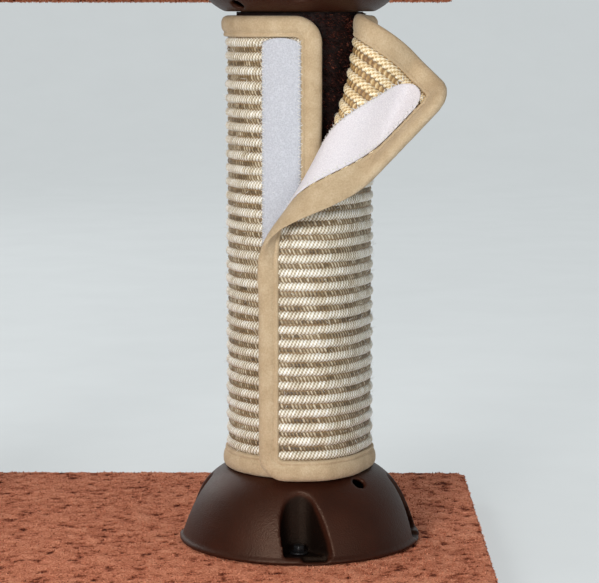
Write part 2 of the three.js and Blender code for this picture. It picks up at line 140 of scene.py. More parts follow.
class Look:
    """A procedural material under construction."""

    def __init__(self, name, roughness, **sockets):
        self.material = bpy.data.materials.new(name)
        self.material.use_nodes = True
        self.tree = self.material.node_tree
        self.shader = self.tree.nodes["Principled BSDF"]
        self.shader.inputs["Roughness"].default_value = roughness
        for socket, value in sockets.items():
            self.shader.inputs[socket.replace("_", " ")].default_value = value
        self.place = self.node("TexCoord").outputs["Object"]

    def link(self, start, end):
        self.tree.links.new(start, end)

    def node(self, kind, **inputs):
        """A new shader node, with some of its inputs set."""
        made = self.tree.nodes.new("ShaderNode" + kind)
        for name, value in inputs.items():
            made.inputs[name.replace("_", " ")].default_value = value
        return made

    def noise(self, scale, detail=3.0, stretch=None, roughness=0.55):
        """Noise over the object's own coordinates, in features per metre."""
        node = self.node("TexNoise", Scale=scale, Detail=detail, Roughness=roughness)
        self.link(self.mapped(stretch), node.inputs["Vector"])
        return node.outputs["Fac"]

    def cells(self, scale, stretch=None):
        """Distance to the nearest of many scattered points."""
        node = self.node("TexVoronoi", Scale=scale)
        self.link(self.mapped(stretch), node.inputs["Vector"])
        return node.outputs["Distance"]

    def mapped(self, stretch):
        if stretch is None:
            return self.place
        node = self.node("Mapping", Scale=stretch)
        self.link(self.place, node.inputs["Vector"])
        return node.outputs["Vector"]

    def attribute(self, name):
        node = self.node("Attribute")
        node.attribute_name = name
        return node.outputs["Fac"]

    def combine(self, first, second, share):
        """Two values mixed, by a share that is a number."""
        node = self.node("Mix", Factor=share)
        self.link(first, node.inputs["A"])
        self.link(second, node.inputs["B"])
        return node.outputs["Result"]

    def ramp(self, value, stops):
        """Colours for a value. stops is a list of (position, screen colour)."""
        node = self.node("ValToRGB")
        elements = node.color_ramp.elements
        while len(elements) < len(stops):
            elements.new(0.5)
        for element, (position, colour) in zip(elements, stops):
            element.position = position
            element.color = srgb(*colour)
        self.link(value, node.inputs["Fac"])
        return node.outputs["Color"]

    def colour(self, value, stops):
        self.link(self.ramp(value, stops), self.shader.inputs["Base Color"])

    def rough(self, value, low, high):
        node = self.node("MapRange", To_Min=low, To_Max=high)
        self.link(value, node.inputs["Value"])
        self.link(node.outputs["Result"], self.shader.inputs["Roughness"])

    def bump(self, value, depth, strength=1.0):
        """Relief with a depth in metres. Each call adds to the one before."""
        node = self.node("Bump", Distance=depth, Strength=strength)
        self.link(value, node.inputs["Height"])
        earlier = self.shader.inputs["Normal"].links
        if earlier:
            self.link(earlier[0].from_socket, node.inputs["Normal"])
        self.link(node.outputs["Normal"], self.shader.inputs["Normal"])


def carpet_look():
    look = Look("carpet_plush", 0.95, Specular_IOR_Level=0.1)
    broad = look.noise(70, 4)
    fine = look.noise(650, 4, roughness=0.7)
    tuft = look.attribute("tone")
    value = look.combine(look.combine(broad, fine, 0.85), tuft, 0.48)
    # The tone attribute carries painted shade from the creases down towards the dark first stop.
    look.colour(value, [
        (0.27, (50, 16, 9)),
        (0.38, (142, 74, 52)),
        (0.47, (206, 127, 96)),
        (0.6, (250, 184, 150)),
    ])
    look.bump(fine, 0.0012)
    return look.material


def plastic_look():
    look = Look("brown_moulded_plastic", 0.42, Specular_IOR_Level=0.3)
    grain = look.cells(950)
    broad = look.noise(45, 3)
    # Painted shade: the attribute written in flange_mesh darkens the pockets and the hollow under the dome
    # towards the two near-black stops.
    shade = look.combine(broad, look.attribute("cavity_shade"), 0.5)
    look.colour(shade, [
        (0.15, (42, 18, 10)),
        (0.35, (50, 22, 12)),
        (0.6, (13, 4, 2)),
        (0.8, (6, 2, 1)),
    ])
    look.shader.inputs["Specular Tint"].default_value = (1.0, 0.72, 0.55, 1.0)
    look.rough(look.combine(grain, broad, 0.5), 0.34, 0.56)
    look.bump(grain, 0.0002, 0.7)
    look.bump(look.noise(1400, 2), 0.0001, 0.6)
    return look.material


def sisal_look(name, outside, inside):
    """Yarn that is paler outside than inside. Each side has a dark, a middle, a light and a peak colour."""
    look = Look(name, 0.4, Specular_IOR_Level=0.75)
    fibre = look.noise(2600, 2)
    patch = look.noise(60, 3)
    value = look.combine(look.attribute("tone"), look.combine(fibre, patch, 0.4), 0.34)
    places = (0.2, 0.32, 0.47, 0.66)
    blend = look.node("Mix")
    blend.data_type = "RGBA"
    look.link(look.attribute("gold"), blend.inputs["Factor"])
    look.link(look.ramp(value, list(zip(places, outside))), blend.inputs[6])
    look.link(look.ramp(value, list(zip(places, inside))), blend.inputs[7])
    look.link(blend.outputs[2], look.shader.inputs["Base Color"])
    look.rough(fibre, 0.36, 0.72)
    look.bump(fibre, 0.0003, 0.8)
    return look.material


def fleece_look():
    look = Look("beige_fleece", 0.92, Specular_IOR_Level=0.15, Sheen_Weight=0.12, Sheen_Roughness=0.5)
    fuzz = look.noise(900, 4)
    broad = look.noise(90, 3)
    look.colour(look.combine(fuzz, broad, 0.5), [
        (0.25, (164, 141, 109)),
        (0.5, (187, 165, 134)),
        (0.75, (208, 190, 160)),
    ])
    look.bump(fuzz, 0.0006, 0.8)
    return look.material


def tape_look(name, dark, middle, light, grain):
    look = Look(name, 0.85, Specular_IOR_Level=0.2, Sheen_Weight=0.1, Sheen_Roughness=0.5)
    loops = look.cells(grain)
    fuzz = look.noise(1100, 3)
    look.colour(look.combine(loops, fuzz, 0.55), [(0.15, dark), (0.45, middle), (0.8, light)])
    look.bump(loops, 0.0004, 0.6)
    look.bump(fuzz, 0.0003, 0.6)
    return look.material


def thread_look():
    look = Look("white_thread", 0.6, Specular_IOR_Level=0.4)
    look.colour(look.noise(1500, 2), [(0.3, (206, 204, 200)), (0.7, (240, 239, 236))])
    look.bump(look.noise(2600, 2), 0.0002)
    return look.material


def plush_look():
    look = Look("dark_brown_plush", 0.7, Specular_IOR_Level=0.25)
    value = look.combine(look.attribute("tone"), look.noise(160, 3), 0.45)
    # The brightest stop, reached at bright tuft tips, is partly the plush's own reddish brown and partly
    # painted glint.
    look.colour(value, [
        (0.25, (10, 3, 2)),
        (0.5, (34, 12, 8)),
        (0.66, (86, 34, 24)),
        (0.82, (160, 96, 72)),
    ])
    look.bump(look.noise(1200, 2), 0.0005)
    return look.material


def board_look():
    look = Look("particle_board", 0.8, Specular_IOR_Level=0.3)
    chips = look.cells(260, stretch=(1.0, 0.55, 1.0))
    look.colour(look.combine(chips, look.noise(500, 4), 0.5), [
        (0.2, (128, 96, 62)),
        (0.5, (178, 142, 98)),
        (0.8, (206, 174, 130)),
    ])
    look.bump(chips, 0.0003, 0.5)
    return look.material


def cardboard_look():
    look = Look("cardboard", 0.9, Specular_IOR_Level=0.2)
    look.colour(look.noise(320, 4, stretch=(1.0, 1.0, 3.0)), [
        (0.3, (136, 106, 74)),
        (0.7, (168, 136, 98)),
    ])
    look.bump(look.noise(700, 3), 0.0002)
    return look.material


def metal_look(name, dark, light, roughness, metallic):
    look = Look(name, roughness, Metallic=metallic)
    scratch = look.noise(900, 3)
    look.colour(scratch, [(0.3, dark), (0.7, light)])
    look.rough(scratch, roughness - 0.08, roughness + 0.15)
    look.bump(look.noise(1800, 2), 0.00005)
    return look.material


carpet = carpet_look()
plastic = plastic_look()
# CREAM and GOLD colour the yarn rows: their dark colours serve as painted shade in the ply grooves and the
# recess between rows, their peak colours as painted highlight on the plies' crests.
CREAM = [(50, 34, 18), (132, 108, 70), (222, 212, 188), (255, 255, 252)]
GOLD = [(110, 76, 36), (186, 148, 92), (232, 208, 160), (255, 246, 222)]
OCHRE = [(58, 40, 22), (104, 80, 48), (146, 118, 78), (190, 164, 120)]
sisal = sisal_look("sisal_yarn", CREAM, GOLD)
core = sisal_look("sisal_core", OCHRE, OCHRE)
fleece = fleece_look()
loops = tape_look("white_loop_tape", (162, 166, 176), (184, 187, 196), (204, 207, 215), 900)
hooks = tape_look("white_hook_tape", (202, 199, 207), (219, 215, 221), (234, 231, 235), 1500)
thread = thread_look()
plush = plush_look()
wood = board_look()
cardboard = cardboard_look()
black = metal_look("black_screw_metal", (16, 16, 17), (34, 34, 36), 0.34, 0.6)
zinc = metal_look("zinc_screw_metal", (140, 143, 146), (186, 188, 190), 0.32, 1.0)


# ==== Meshes


def grid_faces(rows, columns, loop_rows=False, loop_columns=False, first=0):
    """Four-cornered faces of a grid of points in row-major order."""
    row = np.arange(rows if loop_rows else rows - 1)
    column = np.arange(columns if loop_columns else columns - 1)
    r, c = (a.ravel() for a in np.meshgrid(row, column, indexing="ij"))
    r_next, c_next = (r + 1) % rows, (c + 1) % columns
    corners = [r * columns + c, r * columns + c_next, r_next * columns + c_next, r_next * columns + c]
    return np.stack(corners, -1) + first


def circle(steps):
    """Angles evenly round a circle, as a column."""
    return np.linspace(0, 2 * math.pi, steps, endpoint=False)[:, None]


def grid_rim(rows, columns):
    """The numbers of a grid's outer points, in order round it."""
    return np.concatenate([
        np.arange(columns),
        np.arange(1, rows) * columns + columns - 1,
        (rows - 1) * columns + np.arange(columns - 2, -1, -1),
        np.arange(rows - 2, 0, -1) * columns,
    ])


def add(name, data):
    """A new object in the scene, which holds a mesh, a lamp or a camera."""
    made = bpy.data.objects.new(name, data)
    bpy.context.scene.collection.objects.link(made)
    return made


def write(mesh, name, values):
    """Gives a mesh a number for every point, which its material reads by name."""
    mesh.attributes.new(name, "FLOAT", "POINT").data.foreach_set("value", values.astype(np.float32))


def volume(points, faces):
    """Six times the volume that the faces enclose."""
    total = 0.0
    for group in faces:
        for second in range(1, group.shape[1] - 1):
            a, b, c = points[group[:, 0]], points[group[:, second]], points[group[:, second + 1]]
            total += np.einsum("ij,ij", a, np.cross(b, c))
    return total


def make(name, points, faces, material, tone=None, closed=True, smooth=True):
    """An object from points in millimetres and a list of face arrays. A closed one is turned to face out."""
    points = np.asarray(points, float).reshape(-1, 3)
    centred = points - points.mean(0)
    if closed and volume(centred, faces) < 0:
        faces = [group[:, ::-1] for group in faces]
    corners = np.concatenate([group.ravel() for group in faces])
    counts = np.concatenate([np.full(len(group), group.shape[1]) for group in faces])
    mesh = bpy.data.meshes.new(name)
    mesh.vertices.add(len(points))
    mesh.vertices.foreach_set("co", (points / 1000).astype(np.float32).ravel())
    mesh.loops.add(len(corners))
    mesh.loops.foreach_set("vertex_index", corners.astype(np.int32))
    mesh.polygons.add(len(counts))
    mesh.polygons.foreach_set("loop_start", (np.cumsum(counts) - counts).astype(np.int32))
    mesh.polygons.foreach_set("use_smooth", np.full(len(counts), smooth))
    mesh.update(calc_edges=True)
    if tone is not None:
        write(mesh, "tone", tone)
    mesh.materials.append(material)
    return add(name, mesh)


def settle(piece, body="root", nodes=(), share=None):
    """Rides a piece on its body, or, when shares are given, bakes its placement into its mesh; the shares'
    values are not used.
    """
    if share is None:
        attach(piece, body)
    else:
        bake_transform(piece)
    if nodes:
        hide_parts(*nodes)
    return piece


def blades(points, directions, length, width):
    """Thin three-sided spikes that stand on points: their points and faces. Four corners a spike."""
    count = len(points)
    directions = directions / np.linalg.norm(directions, axis=1, keepdims=True)
    helper = np.where(np.abs(directions[:, 2:3]) < 0.9, [[0.0, 0.0, 1.0]], [[1.0, 0.0, 0.0]])
    across = np.cross(directions, helper)
    across /= np.linalg.norm(across, axis=1, keepdims=True)
    beside = np.cross(directions, across)
    turn = random.uniform(0, 2 * math.pi, count)
    corners = []
    for k in range(3):
        angle = (turn + k * 2 * math.pi / 3)[:, None]
        corners.append(points + (across * np.cos(angle) + beside * np.sin(angle)) * width)
    corners.append(points + directions * np.reshape(length, (-1, 1)))
    made = np.stack(corners, 1).reshape(-1, 3)
    first = np.arange(count)[:, None] * 4
    faces = np.concatenate([first + f for f in ([0, 1, 3], [1, 2, 3], [2, 0, 3], [0, 2, 1])])
    return made, faces


def tufts(points, normals, length, width, lean, spread):
    """Spikes that lean at random from the normals, with a random tone each, darker at the foot as painted
    shade.
    """
    count = len(points)
    directions = normals + random.normal(0, lean, (count, 3))
    lengths = length * random.uniform(0.65, 1.2, count)
    made, faces = blades(points - normals * 0.6, directions, lengths, width)
    tone = np.repeat(np.clip(random.normal(0.5, spread, count), 0, 1), 4)
    # Painted shade: a spike's three foot corners are darker than its tip.
    tone = tone.reshape(-1, 4) * [0.65, 0.65, 0.65, 1.0]
    return made, faces, tone.ravel()


def joined(parts):
    """Parts are (points, faces, tone): one set of each, with the faces numbered on."""
    points, faces, tones, first = [], [], [], 0
    for p, f, t in parts:
        p = p.reshape(-1, 3)
        points.append(p)
        faces.extend(group + first for group in (f if isinstance(f, list) else [f]))
        tones.append(np.broadcast_to(t, len(p)))
        first += len(p)
    return np.concatenate(points), faces, np.concatenate(tones)


# ==== The wrap: where a place on the flat mat lies on its post


def plan(azimuth, radius):
    """Azimuth in degrees from the front, positive towards the right."""
    angle = np.radians(azimuth)
    return np.stack([radius * np.sin(angle), -radius * np.cos(angle)], -1)


def rolled(along):
    """The azimuth and radius of the mat's middle, for a distance along it from its inner free edge."""
    rise = (OUTER_LAYER - INNER_LAYER) / (RISE_TO - RISE_FROM)
    radius = INNER_LAYER + rise * (np.clip(along, RISE_FROM, RISE_TO) - RISE_FROM)
    turned = np.minimum(along, RISE_FROM) / INNER_LAYER
    turned = turned + np.log(radius / INNER_LAYER) / rise + np.maximum(along - RISE_TO, 0) / OUTER_LAYER
    return WRAP_START - np.degrees(turned), radius


def hinge():
    """A place on the flap's hinge line and the line's direction, in the post's frame."""
    low = np.array([*plan(*HINGE_LOW[:2]), HINGE_LOW[2]])
    high = np.array([*plan(*HINGE_HIGH[:2]), HINGE_HIGH[2]])
    return low, (high - low) / np.linalg.norm(high - low)


def on_wrap(side, along, up, lift):
    """Points in the tree's frame for places on the mat, and how far each goes with the flap, from 0 to 1."""
    along, up, lift = np.broadcast_arrays(along, up, lift)
    azimuth, radius = rolled(along)
    point = np.concatenate([plan(azimuth, radius + lift), (WRAP["bottom"] + up)[..., None]], -1)
    reach = WRAP["width"] - along + (WRAP["height"] - up) / BAND["slope"]
    share = np.clip((reach - BAND["inner"]) / (BAND["outer"] - BAND["inner"]), 0, 1)
    share = 1 - share * share * (3 - 2 * share)
    at, axis = hinge()
    angle = np.radians(PEEL[side] * share)[..., None]
    arm = point - at
    along_axis = (arm @ axis)[..., None] * axis
    point = at + arm * np.cos(angle) + np.cross(axis, arm) * np.sin(angle) + along_axis * (1 - np.cos(angle))
    return point + [POST_X[side], 0, BASE_TOP], share


def flap(side, node):
    """The two CAD nodes of something that lies on both sides of the bend."""
    return [f"{side}_{node}", f"{side}_flap_{node}"]


def yarn_row(side, centre, yarn, step, sides):
    """One row of twisted yarn along the mat: its points, faces, tone and shares."""
    start, stop = ROW_END, WRAP["width"] - ROW_END
    along = np.arange(start, stop, step)[:, None]
    angle = circle(sides).T
    drift = random.uniform(0, 600)
    path = np.concatenate([along + drift, along * 0, along * 0 + centre], 1)
    phase = 2 * math.pi * along / yarn["twist"] + yarn["plies"] * angle + 1.2 * noise(path, 18)[:, None]
    crest = 0.5 + 0.5 * np.cos(phase)
    radius = yarn["radius"] * (1 + 0.09 * noise(path, 7)[:, None]) + yarn["ply"] * crest**0.7
    radius = radius * np.sqrt(np.clip(np.minimum(along - start + 0.15, stop - along + 0.15) / 2.5, 0, 1))
    up = centre + 0.35 * noise(path, 26)[:, None] + yarn["wide"] * radius * np.sin(angle)
    points, share = on_wrap(side, along, up, radius * np.cos(angle))
    # Each strand's own brightness, from -1 to 1, scattered by its number.
    strand = np.sin(np.floor(phase / (2 * math.pi) + 0.5) * 78.233 + drift * 12.9898) * 43758.5453
    strand = 2 * (strand - np.floor(strand)) - 1
    patch = noise(path, 9)[:, None]
    # Painted light: each ply's crest is made bright as painted highlight and the groove between plies dark as
    # painted shade; the strand and patch terms are the yarn's own random variation.
    tone = np.clip(yarn["shade"] * (0.08 + 0.8 * crest) + 0.17 * strand * crest + 0.05 * patch, 0, 1)
    gold = np.broadcast_to(np.clip(-1.4 * np.cos(angle) + 0.2, 0, 1), tone.shape)
    faces = grid_faces(len(along), sides, loop_columns=True)
    last = (len(along) - 1) * sides
    ends = [np.arange(sides)[None, :], np.arange(last, last + sides)[None, ::-1]]
    return points, [faces, *ends], tone.ravel(), share.ravel(), gold.ravel()


def stray_fibres(side, count):
    """Loose sisal hairs that stand off the rows, on both faces."""
    along = random.uniform(15, WRAP["width"] - 15, count)
    up = random.uniform(16, WRAP["height"] - 16, count)
    face = random.choice([-1.0, 1.0], count)
    low, share = on_wrap(side, along, up, face * 2.2)
    high, _ = on_wrap(side, along + random.normal(0, 3, count), up + random.normal(0, 3, count), face * 4.2)
    made, faces = blades(low, high - low, random.uniform(2.5, 5.5, count), 0.16)
    return made, faces, np.full(len(made), 0.8), np.repeat(share, 4), np.zeros(len(made))


def yarns(side, name, made):
    """One piece from several yarns, which run over both the post's part and the flap's part of the mat."""
    points, faces, tone = joined([m[:3] for m in made])
    piece = make(name, points, faces, sisal, tone)
    write(piece.data, "gold", np.concatenate([m[4] for m in made]))
    return settle(piece, f"{side}_flap", share=np.concatenate([m[3] for m in made]))


def build_sisal(side):
    """The thick rows, in three pieces, and the thin yarns between them with the loose hairs."""
    rows = int((WRAP["height"] - 2 * ROW_EDGE) // ROW_PITCH)
    first = (WRAP["height"] - (rows - 1) * ROW_PITCH) / 2
    pieces = []
    for part in range(3):
        wanted = range(part * rows // 3, (part + 1) * rows // 3)
        made = [yarn_row(side, first + i * ROW_PITCH, YARN, 0.65, 10) for i in wanted]
        pieces.append(yarns(side, f"{side}_sisal_rows_{'abc'[part]}", made))
    fill = [yarn_row(side, first + (i - 0.5) * ROW_PITCH, FILLER, 0.8, 6) for i in range(rows + 1)]
    fill.append(stray_fibres(side, 1500))
    pieces.append(yarns(side, f"{side}_sisal_filler", fill))
    return pieces


def slab_on_wrap(side, along, up, low, high):
    """A closed sheet on the mat: along and up are matching grids, and low and high its faces' lifts."""
    rows, columns = along.shape
    under, share = on_wrap(side, along, up, low)
    over, _ = on_wrap(side, along, up, high)
    count = rows * columns
    rim = grid_rim(rows, columns)
    after = np.roll(rim, -1)
    wall = np.stack([rim, after, after + count, rim + count], -1)
    faces = [grid_faces(rows, columns)[:, ::-1], grid_faces(rows, columns, first=count), wall]
    points = np.concatenate([under.reshape(-1, 3), over.reshape(-1, 3)])
    return points, faces, np.concatenate([share.ravel()] * 2)


def build_core(side):
    """The woven core between the yarns."""
    margin = 10.0
    along, up = np.meshgrid(
        np.linspace(margin, WRAP["width"] - margin, 150),
        np.linspace(margin, WRAP["height"] - margin, 130),
        indexing="ij",
    )
    points, faces, share = slab_on_wrap(side, along, up, -0.8, 0.8)
    tone = np.full(len(points), 0.35)
    piece = make(f"{side}_sisal_core", points, faces, core, tone)
    nodes = [f"{side}_mat", f"{side}_mat_fold", f"{side}_flap_mat"]
    return settle(piece, f"{side}_flap", nodes, share)


def edge_path(step):
    """Places along the mat's outline, and the direction inwards at each."""
    width, height, corner = WRAP["width"], WRAP["height"], WRAP["corner"]
    places, inward = [], []
    sides = [
        ((corner, height), (width - corner, height), (0, -1)),
        ((width, height - corner), (width, corner), (-1, 0)),
        ((width - corner, 0), (corner, 0), (0, 1)),
        ((0, corner), (0, height - corner), (1, 0)),
    ]
    for i, (start, stop, direction) in enumerate(sides):
        start, stop = np.array(start, float), np.array(stop, float)
        count = round(np.linalg.norm(stop - start) / step)
        share = np.arange(count)[:, None] / count
        places.append(start + (stop - start) * share)
        inward.append(np.tile(direction, (count, 1)))
        count = round(corner * math.pi / 2 / step)
        angle = math.radians(90 - 90 * i) - np.arange(count) / count * math.pi / 2
        out = np.stack([np.cos(angle), np.sin(angle)], -1)
        places.append(stop + corner * (np.array(direction) + out))
        inward.append(-out)
    return np.concatenate(places), np.concatenate(inward)


# The binding's section: how far in from the edge, and how far out from the mat's middle.
BINDING_SECTION = [
    (14.2, 2.2), (14.0, 3.2), (13.4, 3.8), (12.6, 3.9), (11.9, 3.6), (11.4, 3.2), (10.9, 3.7), (10.0, 4.4),
    (8.4, 5.0), (6.4, 5.3), (4.4, 5.2), (2.8, 4.8), (1.5, 4.0), (0.5, 2.8), (0.0, 1.2), (0.3, -0.5),
    (1.1, -1.7), (2.4, -2.6), (4.2, -3.1), (6.4, -3.2), (8.4, -3.1), (10.0, -2.9), (10.9, -2.5), (11.4, -2.2),
    (11.9, -2.5), (12.6, -2.8), (13.4, -2.7), (14.0, -2.2), (14.2, -1.2),
]


def build_binding(side):
    """The fleece binding, swept round the mat's whole edge."""
    places, inward = edge_path(1.4)
    inset, lift = np.array(BINDING_SECTION).T
    along = places[:, :1] + inward[:, :1] * inset
    up = places[:, 1:] + inward[:, 1:] * inset
    raw = np.stack([along, up, np.broadcast_to(lift * 3, along.shape)], -1)
    puff = 0.22 * noise(raw, 11) + 0.16 * noise(raw, 2.6)
    lift = lift + np.sign(lift) * puff * np.clip(np.abs(lift) - 1.5, 0, 1)
    points, share = on_wrap(side, along, up, lift)
    faces = [grid_faces(len(places), len(inset), True, True)]
    piece = make(f"{side}_fleece_binding", points, faces, fleece)
    return settle(piece, f"{side}_flap", flap(side, "binding"), share.ravel())


def stitches(side, along, up, lift, run_along, run_up, length, thick):
    """Short raised threads at places on the mat, each along its own direction on the mat."""
    steps, sides = 6, 6
    t = np.linspace(-0.5, 0.5, steps)[None, :, None]
    angle = circle(sides).T[None]
    fat = thick * np.sqrt(np.clip(1 - (2 * t) ** 2, 0.05, 1))
    column = [np.asarray(a, float).reshape(-1, 1, 1) for a in (along, up, lift, run_along, run_up)]
    along, up, lift, run_along, run_up = column
    place = along + run_along * t * length - run_up * fat * np.cos(angle)
    height = up + run_up * t * length + run_along * fat * np.cos(angle)
    lift = lift + fat * np.sin(angle) - np.sign(lift) * (2 * t) ** 2 * 0.5
    points, share = on_wrap(side, place, height, lift)
    one = [grid_faces(steps, sides, loop_columns=True)]
    one += [np.arange(sides)[None, :], np.arange(sides)[None, ::-1] + (steps - 1) * sides]
    starts = np.arange(points.shape[0])[:, None, None] * steps * sides
    faces = [(group[None] + starts).reshape(-1, group.shape[1]) for group in one]
    return points.reshape(-1, 3), faces, share.ravel()


def build_stitching(side):
    """The thread that holds the binding, on both faces, and the zigzag along the two tapes."""
    seam, zigzag = [], []
    places, inward = edge_path(4.2)
    at_along, at_up = (places + inward * 11.5).T
    for side_lift in (3.2, -2.3):
        lift = np.full(len(places), side_lift)
        seam.append(stitches(side, at_along, at_up, lift, inward[:, 1], -inward[:, 0], 3.0, 0.34))
    for low, lift in ((LOOP_FROM, 4.3), (HOOK_FROM, -4.5)):
        for edge in (low + 0.6, low + STRIP["width"] - 0.6):
            up = np.arange(18.0, WRAP["height"] - 16.0, 2.3)
            lean = np.where(np.arange(len(up)) % 2, 1.0, -1.0)
            jog = random.normal(0, 0.25, len(up))
            flat = np.full(len(up), lift)
            zigzag.append(stitches(side, edge + jog, up, flat, 0.86 * lean, 0.5 + 0 * up, 3.2, 0.3))
    made = []
    kinds = (("seam", seam, fleece, "fleece"), ("zigzag", zigzag, thread, "hook_and_loop"))
    for name, parts, look, slot in kinds:
        points, faces, share = joined(parts)
        piece = make(f"{side}_{name}", points, faces, look)
        made.append(settle(piece, f"{side}_flap", share=share))
    return made


def build_tape(side, name, start, sign, round_end, material, nodes):
    """A hook or loop tape on one face of the mat, with its top corners rounded."""
    low, high = 14.5, WRAP["height"] - 14.5
    v = np.linspace(low, high, 330)[:, None]
    u = np.linspace(-1, 1, 27)[None, :]
    from_top = np.clip((high - v) / round_end, 0, 1)
    from_end = np.clip((v - low) / 3.0, 0, 1)
    half = STRIP["width"] / 2 * np.sqrt(1 - (1 - from_top) ** 2 * 0.96)
    half = half * np.sqrt(1 - (1 - from_end) ** 2 * 0.3)
    along = start + STRIP["width"] / 2 + half * u
    up = np.broadcast_to(v, along.shape)
    raw = np.stack([along, up, 0 * along], -1)
    pinch = np.exp(-((np.abs(u) - 0.9) / 0.05) ** 2)
    face = STRIP["thick"] + 0.12 * noise(raw, 1.7) + 0.22 * noise(raw, 16) - 0.45 * pinch
    face = face * (1 - 0.55 * np.clip((np.abs(u) - 0.94) / 0.06, 0, 1))
    base = STRIP["lift"] - STRIP["thick"] / 2 - 0.35
    points, faces, share = slab_on_wrap(side, along, up, sign * base, sign * (base + 0.35 + face))
    piece = make(name, points, faces, material)
    if share.max() > 0:
        return settle(piece, f"{side}_flap", nodes, share)
    return settle(piece, "root", nodes)


# ==== The plush sleeve


def build_sleeve(side):
    """The plush over the post's tube, with separate pile where the open wrap can show it."""
    low, high = FLANGE["height"] + PLUSH["gap"], POST_GAP - FLANGE["height"] - PLUSH["gap"]
    heights, azimuths = np.linspace(low, high, 200), np.linspace(0, 360, 180, endpoint=False)
    z, azimuth = np.meshgrid(heights, azimuths, indexing="ij")
    place = np.concatenate([plan(azimuth, 40.0), z[..., None]], -1)
    radius = PLUSH["radius"] + 0.45 * noise(place, 5) + 0.3 * noise(place, 2)
    points = np.concatenate([plan(azimuth, radius), z[..., None]], -1)
    shift = np.array([POST_X[side], 0, BASE_TOP])
    tone = 0.3 + 0.25 * noise(place, 3)
    faces = [grid_faces(*z.shape, loop_columns=True)[:, ::-1]]
    piece = make(f"{side}_plush", points + shift, faces, plush, tone.ravel(), closed=False)
    settle(piece, nodes=[f"{side}_plush_sleeve"])

    count = 22000
    azimuth = random.uniform(-5, 120, count)
    z = random.uniform(150, high - 1, count)
    foot = np.concatenate([plan(azimuth, PLUSH["foot"]), z[:, None]], -1)
    normal = np.concatenate([plan(azimuth, 1.0), 0 * z[:, None]], -1)
    made, faces, tone = tufts(foot, normal + [0, 0, -0.35], 3.3, 0.5, 0.45, 0.3)
    pile = make(f"{side}_plush_pile", made + shift, [faces], plush, tone, smooth=False)
    settle(pile)


def build_wrap(side):
    rows = build_sisal(side)
    woven = build_core(side)
    binding = build_binding(side)
    loop = build_tape(side, f"{side}_loop_tape", LOOP_FROM, 1, 5.0, loops, [f"{side}_loop_strip"])
    hook = build_tape(side, f"{side}_hook_tape", HOOK_FROM, -1, 13.0, hooks, flap(side, "hook_strip"))
    sewn = build_stitching(side)


# ==== Carpets


def lumps(points):
    """How high the pile stands at each point, from about -1 to 1."""
    return noise(points, 15) * 0.2 + noise(points, 5.5) * 0.5 + noise(points + 90, 2.4) * 0.6


def carpet_tone(lump):
    """Brightness for the pile's height: nearly even, a little brighter as painted light where it stands high,
    with painted shade darkening the creases where it lies low.
    """
    return np.clip(0.45 + 0.14 * lump - 0.75 * np.clip(-0.3 - lump, 0, 1), 0, 1)


def carpet_top():
    """A grid over the flat top, whose corners follow the rounded outline: its x and its y."""
    half_x = BASE["width"] / 2 - PLUSH_ROUND
    half_y = BASE["depth"] / 2 - PLUSH_ROUND
    corner = BASE["corner"] - PLUSH_ROUND
    x = np.linspace(-half_x, half_x, round(2 * half_x / PLUSH_STEP) + 1)
    y = np.linspace(-half_y, half_y, round(2 * half_y / PLUSH_STEP) + 1)
    x, y = np.meshgrid(x, y, indexing="ij")
    over_x = np.clip(np.abs(x) - half_x + corner, 0, None)
    over_y = np.clip(np.abs(y) - half_y + corner, 0, None)
    new_x = np.sign(x) * (np.abs(x) - over_x + over_x * np.sqrt(1 - over_y**2 / (2 * corner**2)))
    new_y = np.sign(y) * (np.abs(y) - over_y + over_y * np.sqrt(1 - over_x**2 / (2 * corner**2)))
    return new_x, new_y


